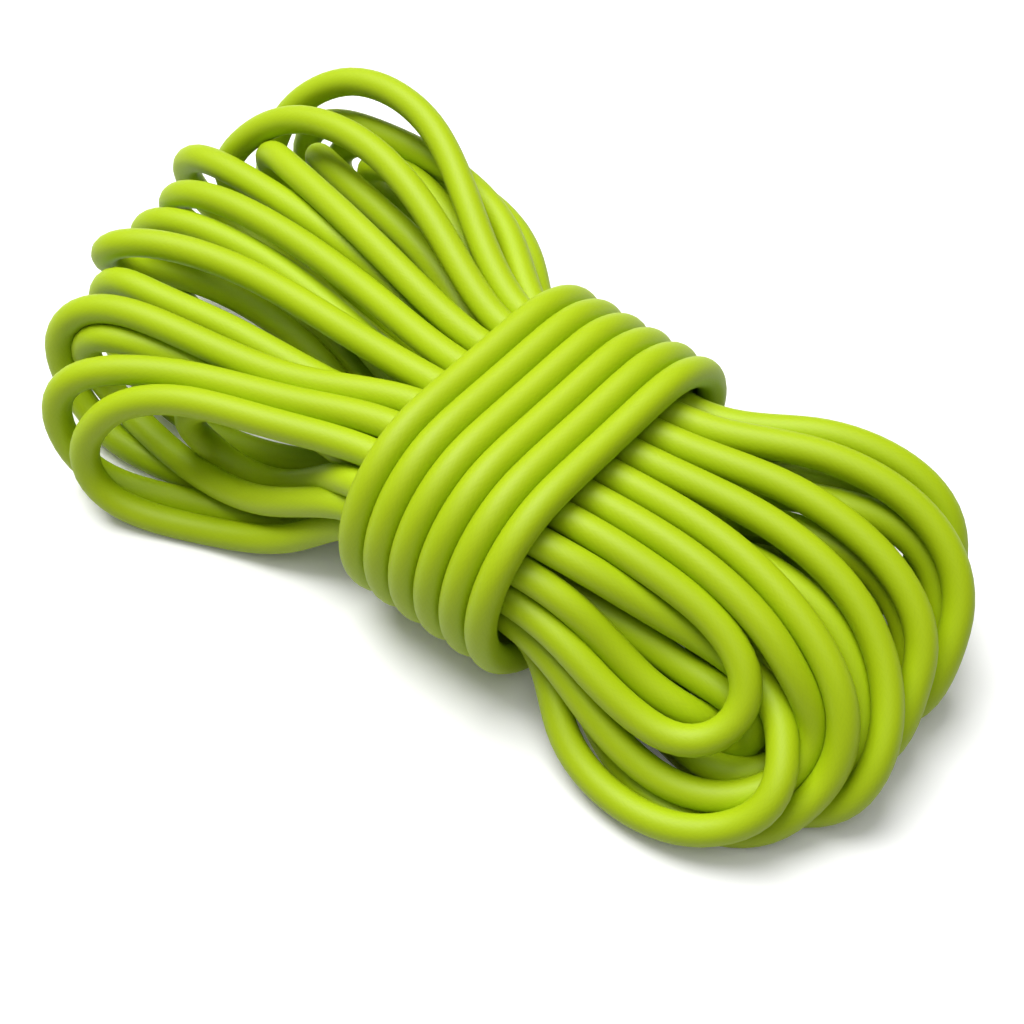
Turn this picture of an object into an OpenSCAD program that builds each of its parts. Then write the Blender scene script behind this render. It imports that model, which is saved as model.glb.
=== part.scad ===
// A dynamic climbing rope put away as a hank.
// One rope lies in seventeen long loops and is then wound six times round the waist of the hank.
// All sizes are in millimetres, Z is up and the hank lies on Z = 0 with its length along X.

/* [Rope] */
// Outside diameter of the rope
rope_diameter = 9.8; // [9.5:0.1:9.9]

/* [Waist] */
// Number of turns wound round the waist
wrap_turns = 6; // [4:1:7]
// Clear distance between neighbouring turns round the waist
turn_gap = 0.8; // [0.6:0.1:1.1]
// Clear distance between neighbouring strands under the turns
strand_gap = 1.7; // [1.6:0.1:1.9]
// Clear distance between the strands and the turns round them
wrap_gap = 1.6; // [1.5:0.1:2]
// Half the width of the flat top and bottom of the waist
waist_flat = 24.9; // [24.4:0.1:25.4]

/* [Rope ends] */
// Length of the cut sheath at each end of the rope
sheath_length = 22; // [16:1:26]
// Thickness of the woven sheath
sheath_wall = 1.2; // [1.1:0.05:1.25]
// Diameter of one strand of the core
core_strand = 1.7; // [1.5:0.05:1.7]
// Clear distance between the strands of the core
core_gap = 0.1; // [0.08:0.01:0.12]
// Length of the molten tip that closes the end
tip_length = 3; // [2:0.5:4]
// Length of the shrunk sleeve over the end
sleeve_length = 18; // [12:1:20]
// Thickness of the shrunk sleeve
sleeve_wall = 0.5; // [0.4:0.05:0.7]
// Clear distance between the sleeve and the sheath
sleeve_gap = 0.05; // [0.04:0.01:0.1]

/* [Hidden] */

rope_green = [0.70, 0.82, 0.18];
core_white = [0.93, 0.93, 0.90];
tip_green = [0.55, 0.66, 0.14];
sleeve_clear = [0.85, 0.87, 0.84];

rope_radius = rope_diameter / 2;
// the faceted rope is flattened where it lies on the ground
floor_z = rope_radius - rope_diameter / 10;
tube_sides = 6;

// strands in the waist: a closed row of places round a stadium, and two straight rows inside it
strand_pitch = rope_diameter + strand_gap;
ring_places = 23;
waist_round = ring_places * strand_pitch;
ring_radius = (waist_round - 4 * waist_flat) / (2 * PI);
wrap_radius = ring_radius + rope_diameter + wrap_gap;
waist_z = floor_z + wrap_radius;
edge_left = 41;
edge_right = 44;
// places that the rows are turned by at the left and the right edge
turn_left = 0.9;
turn_right = 1.4;
// the place of the first low strand, and the one on the front of the waist
low_place = 20;
front_place = 21.6;
inner_count = 7;
outer_count = 10;
loop_count = inner_count + outer_count;
inner_pitch = rope_diameter + 3;
inner_pitch_change = 0.5;
inner_shift = 2;
inner_rise = rope_radius + 2.1;
inner_stagger = 1;

// control points of the long straight runs, as shares of the way from the waist to the bend
run_near = 0.36;
run_far = 0.72;
run_low = 0.52;
bend_steps = [-90, -54, -18, 18, 54, 90];
bend_swell = 3 / (2 + cos(36));
bend_end_swell = 1.05;
bend_depth = 34;
right_rake = 4;

// each row: reach, y of top and bottom, z of top and bottom, sideways bow of the upper and lower run
outer_left = [
    [131, -66, -82, 60, floor_z, 0, 0],
    [158, -57, -72, 60, floor_z, 0, 0],
    [183, -43, -53, 60, floor_z, 0, 0],
    [186, -26, -32, 61, floor_z, 0, 0],
    [195, -9, -13, 61, floor_z, 0, 0],
    [197, 7, 4.5, 61, floor_z, 0, 0],
    [198, 22, 20, 62, floor_z, 0, 0],
    [203, 38, 36, 64, floor_z, 0, 0],
    [193, 59, 54, 72, floor_z, 6, 0],
    [186, 79, 88, 81, floor_z, 15, 0]
];
outer_right = [
    [100, -26.5, -47, 64, 27, 0, 0],
    [118, -11, -71, 65, floor_z, 0, -5],
    [126, 2.5, -57, 71, floor_z, 0, -3],
    [129, 12.5, -43.5, 62, floor_z, 0, 0],
    [141, 22.5, -28, 72, floor_z, 0, 0],
    [142, 32.5, -14, 65, floor_z, 0, 0],
    [148, 42.5, 2, 72, floor_z, 0, 0],
    [146, 53, 19, 69, floor_z, 0, 0],
    [140, 64.5, 36, 65, floor_z, 0, 0],
    [129, 73, 54, 62, floor_z, 7, 0]
];
inner_left = [
    [114, -57.5, -76, 51.5, 17, 0, 0],
    [142, -45, -62, 52, 14.5, 0, 0],
    [164, -31, -42, 53, 13.5, 0, 0],
    [169, -17, -22, 54, 12.5, 0, 0],
    [175, -1, -4, 54, 13, 0, 0],
    [176, 15, 12.5, 53, 13.5, 0, 0],
    [168, 51, 46, 61, 15, 0, 0]
];
inner_right = [
    for (j = [0 : inner_count - 1])
        [104.5 + 7.3 * j - 0.72 * j * j, -19 + 13.1 * j, -44.5 + 13.5 * j, 50 + 5 * (j % 2), 15.5, 0, 0]
];

// the two ends of the rope lie straight on the ground behind the right-hand loops, side by side
sleeve_radius = rope_radius + sleeve_gap + sleeve_wall;
end_z = sleeve_radius;
end_apart = 1.1;
inner_end_x = 88;
inner_end_y = 84;
outer_end_x = 86;
outer_end_y = inner_end_y + 2 * sleeve_radius + end_apart;
end_step = 7;
start_points = [
    [inner_end_x, inner_end_y, end_z],
    [inner_end_x - end_step, inner_end_y, end_z],
    [inner_end_x - 2 * end_step, inner_end_y, end_z],
    [66, 81, 9],
    [56, 73, 17],
    [53, 61, 25],
    [62, 48, 29],
    [80, 40, 22]
];
// from the last loop to the first turn round the waist, straight at first
lead_points = [
    [-124, 97, floor_z],
    [-113.5, 93.5, floor_z],
    [-103, 90, floor_z],
    [-92.5, 86.5, floor_z],
    [-82, 83, floor_z],
    [-68, 77, 8],
    [-53, 70, 17],
    [-37, 67, 28]
];
lead_joint = 2;

// turns round the waist
turn_steps = 24;
arc_step = 18;
turn_pitch = rope_diameter + turn_gap;
wrap_control = wrap_radius * 3 / (2 + cos(arc_step));
wrap_shift = 5.3;
wrap_first_x = wrap_shift - wrap_turns * turn_pitch / 2;
wrap_last_x = wrap_first_x + wrap_turns * turn_pitch;
// each place: centre of the arc across the hank, angle round it, radius
turn_places = concat(
    [for (i = [0 : 5]) [waist_flat, arc_step * i, wrap_control]],
    [[0, 90, wrap_radius]],
    [for (i = [5 : 15]) [-waist_flat, arc_step * i, wrap_control]],
    [[0, 270, wrap_radius]],
    [for (i = [15 : 19]) [waist_flat, arc_step * i, wrap_control]]
);
wrap_points = [
    for (k = [0 : wrap_turns * turn_steps - 4])
        let (place = turn_places[k % turn_steps])
        [
            wrap_first_x + turn_pitch * k / turn_steps,
            place[0] + place[2] * cos(place[1]),
            waist_z + place[2] * sin(place[1])
        ]
];
// from the last turn to the outer end, straight at last
tail_points = [
    [wrap_last_x, 44, floor_z],
    [wrap_last_x + 1, 56, floor_z],
    [wrap_last_x + 3, 70, floor_z + 1],
    [wrap_last_x + 8, 83, end_z],
    [wrap_last_x + 19, outer_end_y - 4, end_z],
    [(wrap_last_x + outer_end_x) / 2 + 4, outer_end_y - 0.5, end_z],
    [outer_end_x - 2 * end_step, outer_end_y, end_z],
    [outer_end_x - end_step, outer_end_y, end_z],
    [outer_end_x, outer_end_y, end_z]
];

// y and z of a place on the closed row round the waist
function ring_place(k, turned) =
    let (
        along = (k - 4.5 + turned) * strand_pitch,
        near = along - waist_round * floor(along / waist_round + 0.5),
        side = near < 0 ? -1 : 1,
        s = abs(near),
        arc = PI * ring_radius,
        angle = (s - waist_flat) / ring_radius * 180 / PI
    )
    s < waist_flat ? [side * s, waist_z + ring_radius]
    : s < waist_flat + arc ? [side * (waist_flat + ring_radius * sin(angle)), waist_z + ring_radius * cos(angle)]
    : [side * (2 * waist_flat + arc - s), waist_z - ring_radius];

function ring_slot(k, x) =
    let (
        share = (x + edge_left) / (edge_left + edge_right),
        place = ring_place(k, turn_left + (turn_right - turn_left) * share)
    )
    [x, place[0], place[1]];

function inner_slot(j, level, x) =
    let (share = (x + edge_left) / (edge_left + edge_right))
    [
        x,
        (j - (inner_count - 1) / 2) * (inner_pitch - inner_pitch_change * share) + inner_shift * share,
        waist_z + (level > 0 ? inner_rise + (j % 2 == 1 ? inner_stagger : -inner_stagger) : -inner_rise)
    ];

waist_x = [-edge_left, 0, edge_right];

// loops are counted in the order in which the rope is laid: the inner ones from the back, then the outer ones
function is_inner(i) = i < inner_count;
function page(i) = is_inner(i) ? inner_count - 1 - i : i - inner_count;
function left_row(i) = is_inner(i) ? inner_left[page(i)] : outer_left[page(i)];
function right_row(i) = is_inner(i) ? inner_right[page(i)] : outer_right[page(i)];

// the upper strand of a loop through the waist, from left to right
function high_slots(i) = [
    for (x = waist_x)
        is_inner(i) ? inner_slot(page(i), 1, x) : ring_slot(page(i), x)
];

// the lower strand through the waist that leads to the next loop, from left to right
function low_slots(i) = [
    for (x = waist_x)
        i < inner_count - 1 ? inner_slot(page(i) - 1, -1, x)
        : i == inner_count - 1 ? ring_slot(front_place, x)
        : ring_slot(low_place - page(i) - 1, x)
];

// one half turn at the end of a loop, from its lower to its upper side
function bend_points(row, side, y_waist, x_waist) =
    let (
        half = norm([row[1] - row[2], row[3] - row[4]]) / 2,
        depth = min(half, bend_depth),
        centre_x = row[0] - depth,
        rake = side > 0 ? right_rake : 0,
        high = [centre_x - rake, row[1], row[3]],
        low = [centre_x + rake, row[2], row[4]],
        middle = (high + low) / 2,
        up = (high - low) / 2,
        slope = max(-0.8, min(0.8, (middle[1] - y_waist) / abs(centre_x - x_waist)))
    )
    [
        for (angle = bend_steps)
            let (
                out = depth * cos(angle) * bend_swell,
                p = middle + up * sin(angle) * (abs(angle) < 90 ? bend_swell : bend_end_swell)
            )
            [side * (p[0] + out), p[1] + slope * out * 0.6, max(p[2], row[4])]
    ];

// a control point on the run between the waist and a bend
function run_point(waist, bend, share, bow) =
    let (
        ease = share * share * (3 - 2 * share),
        early = 1 - (1 - share) * (1 - share)
    )
    [
        waist[0] + (bend[0] - waist[0]) * share,
        waist[1] + (bend[1] - waist[1]) * (ease + share) / 2 + bow * sin(180 * share),
        waist[2] + (bend[2] - waist[2]) * (0.6 * early + 0.4 * share)
    ];

function reversed(list) = [for (i = [len(list) - 1 : -1 : 0]) list[i]];
function last(list) = list[len(list) - 1];

// everything to the right of the waist, from the lower to the upper strand
function right_leg(i) =
    let (
        row = right_row(i),
        high = high_slots(i)[2],
        low = i > 0 ? low_slots(i - 1)[2] : high,
        bend = bend_points(row, 1, (high[1] + low[1]) / 2, edge_right)
    )
    concat(
        i > 0 ? [run_point(low, bend[0], run_low, row[6])] : [],
        bend,
        [run_point(high, last(bend), run_far, row[5]), run_point(high, last(bend), run_near, row[5])]
    );

// everything to the left of the waist, from the upper to the lower strand
function left_leg(i) =
    let (
        row = left_row(i),
        high = high_slots(i)[0],
        low = i < loop_count - 1 ? low_slots(i)[0] : high,
        bend = reversed(bend_points(row, -1, (high[1] + low[1]) / 2, edge_left))
    )
    concat(
        [run_point(high, bend[0], run_near, row[5]), run_point(high, bend[0], run_far, row[5])],
        bend,
        i < loop_count - 1 ? [run_point(low, last(bend), run_low, row[6])] : []
    );

// moves the two outer control points sideways, so that the curve itself runs through the slots
function fitted(slots, before, after) =
    let (
        first_pull = (2 * slots[0] - before - slots[1]) / 4,
        last_pull = (2 * slots[2] - after - slots[1]) / 4
    )
    [
        slots[0] + [0, first_pull[1], first_pull[2]],
        slots[1],
        slots[2] + [0, last_pull[1], last_pull[2]]
    ];

right_legs = [for (i = [0 : loop_count - 1]) right_leg(i)];
left_legs = [for (i = [0 : loop_count - 1]) left_leg(i)];
loop_points = [
    for (i = [0 : loop_count - 1])
        each concat(
            right_legs[i],
            reversed(fitted(high_slots(i), left_legs[i][0], last(right_legs[i]))),
            left_legs[i],
            i < loop_count - 1 ? fitted(low_slots(i), last(left_legs[i]), right_legs[i + 1][0]) : []
        )
];

// the whole rope: a smooth curve through one knot for each control point
control = concat(start_points, loop_points, lead_points, wrap_points, tail_points);
knot_count = len(control);
joint_knot = len(start_points) + len(loop_points) + lead_joint;
wraps_from = len(start_points) + len(loop_points) + len(lead_points);
wraps_to = wraps_from + len(wrap_points);

knots = [
    for (i = [0 : knot_count - 1])
        i == 0 || i == knot_count - 1 ? control[i]
        : (control[i - 1] + 4 * control[i] + control[i + 1]) / 6
];

function unit(v) = v / norm(v);
directions = [
    for (i = [0 : knot_count - 1])
        unit(control[min(i + 1, knot_count - 1)] - control[max(i - 1, 0)])
];

// the direction in which one corner of the tube is kept, so that a flat side lies on the ground
function corner_way(i) =
    i >= wraps_from && i < wraps_to ? [1, 0, 0]
    : i >= wraps_to ? [-directions[i][1], directions[i][0], 0]
    : [0, 1, 0];

// the direction of one corner, carried on to the next knot and turned part of the way to where it is wanted
corner_turn = 0.4;
function next_normal(normal, i) =
    let (
        t = directions[i],
        carried = unit(normal - t * (normal * t)),
        across = cross(t, carried),
        way = corner_way(i),
        shown = way - t * (way * t),
        angle = atan2(shown * across, shown * carried),
        corner = 360 / tube_sides,
        miss = angle - corner * round(angle / corner),
        turned = miss * corner_turn * (shown * shown)
    )
    carried * cos(turned) + across * sin(turned);

normals = [
    for (
        i = 0, normal = [0, 1, 0];
        i < knot_count;
        normal = i + 1 < knot_count ? next_normal(normal, i + 1) : normal, i = i + 1
    )
        normal
];

function knot_ring(i) =
    let (across = cross(directions[i], normals[i]))
    [
        for (k = [0 : tube_sides - 1])
            let (
                angle = 360 * k / tube_sides,
                p = knots[i] + rope_radius * (normals[i] * cos(angle) + across * sin(angle))
            )
            [p[0], p[1], max(p[2], 0)]
    ];

rings = [for (i = [0 : knot_count - 1]) knot_ring(i)];

// least distance between two stretches of the rope that aren't neighbours, from surface to surface
chord_middles = [for (i = [0 : knot_count - 2]) (knots[i] + knots[i + 1]) / 2];
chord_halves = [for (i = [0 : knot_count - 2]) norm(knots[i + 1] - knots[i]) / 2];
function to_chord(p, a, b) =
    let (share = max(0, min(1, ((p - a) * (b - a)) / ((b - a) * (b - a)))))
    norm(p - a - (b - a) * share);
near_distances = [
    for (i = [0 : knot_count - 2], j = [i + 3 : 1 : knot_count - 2])
        if (norm(chord_middles[i] - chord_middles[j]) < chord_halves[i] + chord_halves[j] + rope_diameter + 1)
            min([
                for (share = [0, 0.25, 0.5, 0.75])
                    min(
                        to_chord(knots[i] + (knots[i + 1] - knots[i]) * share, knots[j], knots[j + 1]),
                        to_chord(knots[j] + (knots[j + 1] - knots[j]) * share, knots[i], knots[i + 1])
                    )
            ])
];
least_gap = min(near_distances) - rope_diameter;
rope_length = 2 * (chord_halves * [for (h = chord_halves) 1]) + 2 * (sheath_length + tip_length);
echo(least_gap_to_itself = least_gap);
echo(rope_length_in_metres = rope_length / 1000);

// the whole hank is moved so that the middle of its box lies over the origin
ring_points = [for (ring = rings) each ring];
end_reach = sheath_length + tip_length;
box_x = concat([for (p = ring_points) p[0]], [inner_end_x + end_reach, outer_end_x + end_reach]);
box_y = concat([for (p = ring_points) p[1]], [inner_end_y + sleeve_radius, outer_end_y + sleeve_radius]);
hank_middle = [(min(box_x) + max(box_x)) / 2, (min(box_y) + max(box_y)) / 2, 0];

module rope_tube(from, to) {
    count = to - from + 1;
    points = [for (i = [from : to]) each rings[i]];
    sides = [
        for (i = [0 : count - 2], k = [0 : tube_sides - 1])
            let (
                a = i * tube_sides + k,
                b = i * tube_sides + (k + 1) % tube_sides
            )
            each [[a, a + tube_sides, b], [b, a + tube_sides, b + tube_sides]]
    ];
    first_cap = [for (k = [1 : tube_sides - 2]) [0, k, k + 1]];
    base = (count - 1) * tube_sides;
    last_cap = [for (k = [1 : tube_sides - 2]) [base, base + k + 1, base + k]];
    polyhedron(points = points, faces = concat(sides, first_cap, last_cap), convexity = 20);
}

module hank_loops() {
    color(rope_green)
        translate(-hank_middle)
            rope_tube(0, joint_knot);
}

module waist_wraps() {
    color(rope_green)
        translate(-hank_middle)
            rope_tube(joint_knot, knot_count - 1);
}

// puts what is drawn along Z on the end of the rope, pointing along +X
module at_end(x, y) {
    translate([x, y, end_z] - hank_middle)
        rotate([0, 90, 0])
            children();
}

module end_sheath() {
    difference() {
        cylinder(r = rope_radius, h = sheath_length, $fn = 48);
        translate([0, 0, -1])
            cylinder(r = rope_radius - sheath_wall, h = sheath_length + 2, $fn = 48);
    }
}

// twelve strands: three in the middle and nine round them
core_inner = (core_strand + core_gap) / (2 * sin(60));
core_outer = core_inner * cos(20) + sqrt(pow(core_strand + core_gap, 2) - pow(core_inner * sin(20), 2));
module end_core() {
    for (k = [0 : 2])
        rotate([0, 0, 120 * k])
            translate([core_inner, 0, 0])
                cylinder(d = core_strand, h = sheath_length, $fn = 24);
    for (k = [0 : 8])
        rotate([0, 0, 20 + 40 * k])
            translate([core_outer, 0, 0])
                cylinder(d = core_strand, h = sheath_length, $fn = 24);
}

// a molten plug with a rounded rim
module end_tip() {
    rim = tip_length / 2;
    translate([0, 0, sheath_length])
        rotate_extrude($fn = 48)
            union() {
                square([rope_radius, tip_length - rim]);
                square([rope_radius - rim, tip_length]);
                translate([rope_radius - rim, tip_length - rim])
                    intersection() {
                        circle(r = rim, $fn = 48);
                        square([rim, rim]);
                    }
            }
}

module end_sleeve() {
    translate([0, 0, (sheath_length - sleeve_length) / 2])
        difference() {
            cylinder(r = sleeve_radius, h = sleeve_length, $fn = 48);
            translate([0, 0, -1])
                cylinder(r = rope_radius + sleeve_gap, h = sleeve_length + 2, $fn = 48);
        }
}

module inner_end_sheath() {
    color(rope_green)
        at_end(inner_end_x, inner_end_y)
            end_sheath();
}

module inner_end_core() {
    color(core_white)
        at_end(inner_end_x, inner_end_y)
            end_core();
}

module inner_end_tip() {
    color(tip_green)
        at_end(inner_end_x, inner_end_y)
            end_tip();
}

module inner_end_sleeve() {
    color(sleeve_clear)
        at_end(inner_end_x, inner_end_y)
            end_sleeve();
}

module outer_end_sheath() {
    color(rope_green)
        at_end(outer_end_x, outer_end_y)
            end_sheath();
}

module outer_end_core() {
    color(core_white)
        at_end(outer_end_x, outer_end_y)
            end_core();
}

module outer_end_tip() {
    color(tip_green)
        at_end(outer_end_x, outer_end_y)
            end_tip();
}

module outer_end_sleeve() {
    color(sleeve_clear)
        at_end(outer_end_x, outer_end_y)
            end_sleeve();
}

hank_loops();
waist_wraps();
inner_end_sheath();
inner_end_core();
inner_end_tip();
inner_end_sleeve();
outer_end_sheath();
outer_end_core();
outer_end_tip();
outer_end_sleeve();
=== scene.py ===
import math

import bpy
import numpy as np
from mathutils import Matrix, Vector


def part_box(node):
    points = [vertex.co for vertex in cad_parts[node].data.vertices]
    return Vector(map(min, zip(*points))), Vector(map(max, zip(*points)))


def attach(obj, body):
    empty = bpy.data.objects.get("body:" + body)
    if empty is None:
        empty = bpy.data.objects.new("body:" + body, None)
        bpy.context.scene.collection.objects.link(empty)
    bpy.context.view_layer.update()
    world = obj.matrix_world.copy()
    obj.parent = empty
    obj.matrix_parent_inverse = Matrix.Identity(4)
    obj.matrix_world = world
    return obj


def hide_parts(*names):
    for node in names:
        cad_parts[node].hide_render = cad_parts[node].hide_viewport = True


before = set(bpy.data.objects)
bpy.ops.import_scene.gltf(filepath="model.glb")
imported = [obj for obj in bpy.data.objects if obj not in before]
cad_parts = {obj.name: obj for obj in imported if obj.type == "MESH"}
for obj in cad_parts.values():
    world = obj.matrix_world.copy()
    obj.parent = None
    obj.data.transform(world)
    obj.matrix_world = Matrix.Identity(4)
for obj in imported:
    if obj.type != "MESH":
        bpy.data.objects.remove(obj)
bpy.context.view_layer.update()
# the frame's nodes come in selected
for node in bpy.context.selected_objects:
    node.select_set(False)

MM = 0.001


# ---- camera ----

VIEW_AROUND = 38
VIEW_ABOVE = 54
VIEW_DISTANCE = 0.6
LOOKED_AT = Vector((0.02372, -0.01687, 0.030))
FRAME_WIDE = 1024
FOCAL_WIDE = 1745
SENSOR_WIDE = 36
CLIP_NEAR, CLIP_FAR = 0.01, 20

AROUND, ABOVE = math.radians(VIEW_AROUND), math.radians(VIEW_ABOVE)
TO_CAMERA = Vector((
    math.sin(AROUND) * math.cos(ABOVE),
    -math.cos(AROUND) * math.cos(ABOVE),
    math.sin(ABOVE),
))
CAMERA_PLACE = LOOKED_AT + TO_CAMERA * VIEW_DISTANCE


def set_camera():
    data = bpy.data.cameras.new("camera")
    data.sensor_width = SENSOR_WIDE
    data.lens = SENSOR_WIDE * FOCAL_WIDE / FRAME_WIDE
    data.clip_start = CLIP_NEAR
    data.clip_end = CLIP_FAR
    camera = bpy.data.objects.new("camera", data)
    bpy.context.collection.objects.link(camera)
    camera.location = CAMERA_PLACE
    camera.rotation_mode = "QUATERNION"
    camera.rotation_quaternion = (-TO_CAMERA).to_track_quat("-Z", "Y")
    bpy.context.scene.camera = camera


set_camera()


# ---- the way the rope lies, in millimetres ----
# Seventeen long loops run from the waist to a bend at each end of the hank, and six turns go round
# the waist. Each loop is first laid through a list of places. Then all are settled together: strands
# push each other apart, lie on the ground and straighten, and are drawn to their places.
# The two ends lie exactly as in part.scad. Its loops and turns lie in the same box and in the same
# order, but some millimetres and here and there a few centimetres off these.

ROPE_DIAMETER = 9.8
ROPE_RADIUS = ROPE_DIAMETER / 2
# a strand on the ground is pressed flat by a tenth of its thickness
FLOOR_Z = ROPE_RADIUS - ROPE_DIAMETER / 10

# the waist: a closed row of strands under the turns, and two straight rows inside it
WAIST_FLAT = 24.9
WAIST_SHIFT = -3.2
WAIST_TILT = 0.07
EDGE_LEFT = 36
EDGE_RIGHT = 44
WAIST_X = (-EDGE_LEFT, 0, EDGE_RIGHT)

STRAND_GAP = 1.7
STRAND_PITCH = ROPE_DIAMETER + STRAND_GAP
RING_PLACES = 23
RING_TOP_PLACE = 4.5
RING_TURN_LEFT, RING_TURN_RIGHT = 0.9, 1.4
WAIST_ROUND = RING_PLACES * STRAND_PITCH
RING_RADIUS = (WAIST_ROUND - 4 * WAIST_FLAT) / (2 * math.pi)

INNER_COUNT = 7
INNER_GAP = 3
INNER_PITCH = ROPE_DIAMETER + INNER_GAP
INNER_PITCH_CHANGE = 0.5
INNER_SHIFT = 2
INNER_ROW_GAP = 4.2
INNER_RISE = ROPE_RADIUS + INNER_ROW_GAP / 2
INNER_STAGGER = 1

# the turns round the waist
WRAP_TURNS = 6
WRAP_GAP = 1.6
WRAP_RADIUS = RING_RADIUS + ROPE_DIAMETER + WRAP_GAP
WAIST_Z = FLOOR_Z + WRAP_RADIUS
TURN_GAP = 0.8
TURN_PITCH = ROPE_DIAMETER + TURN_GAP
TURN_STEPS = 24
ARC_STEP = 18
ARC_QUARTER = 90 // ARC_STEP
# a spline with its control points on this radius has its knots on the turn's own radius
WRAP_CONTROL = WRAP_RADIUS * 3 / (2 + math.cos(math.radians(ARC_STEP)))
WRAP_MIDDLE_X = 5.3
WRAP_FIRST_X = WRAP_MIDDLE_X - WRAP_TURNS * TURN_PITCH / 2
WRAP_LAST_X = WRAP_FIRST_X + WRAP_TURNS * TURN_PITCH
# so many steps before the last turn is full, the way to the outer end takes over
TAIL_TAKES_OVER = 3
# one turn: how far to the side an arc's middle is, the angle on the arc, and its radius
TURN_PLACES = (
    [(WAIST_FLAT, ARC_STEP * i, WRAP_CONTROL) for i in range(ARC_QUARTER + 1)]
    + [(0, 90, WRAP_RADIUS)]
    + [(-WAIST_FLAT, ARC_STEP * i, WRAP_CONTROL) for i in range(ARC_QUARTER, 3 * ARC_QUARTER + 1)]
    + [(0, 270, WRAP_RADIUS)]
    + [(WAIST_FLAT, ARC_STEP * i, WRAP_CONTROL) for i in range(3 * ARC_QUARTER, 4 * ARC_QUARTER)]
)

# each loop's upper strand in the waist and the lower one after it: the row and the place in it
RING_ROW, INNER_ROW = "ring", "inner"
UPPER_STRANDS = (
    [(INNER_ROW, place) for place in (6, 5, 4, 3, 2, 0, 1)]
    + [(RING_ROW, place) for place in (1, 0, 2, 3, 4, 5, 6, 7, 8, 9)]
)
LOWER_STRANDS = (
    [(INNER_ROW, place) for place in (5, 4, 3, 2, 1)]
    + [(RING_ROW, place) for place in (22, 21, 19, 20, 18, 17, 16, 15, 14, 13, 12)]
)
LOOP_COUNT = len(UPPER_STRANDS)

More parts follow.
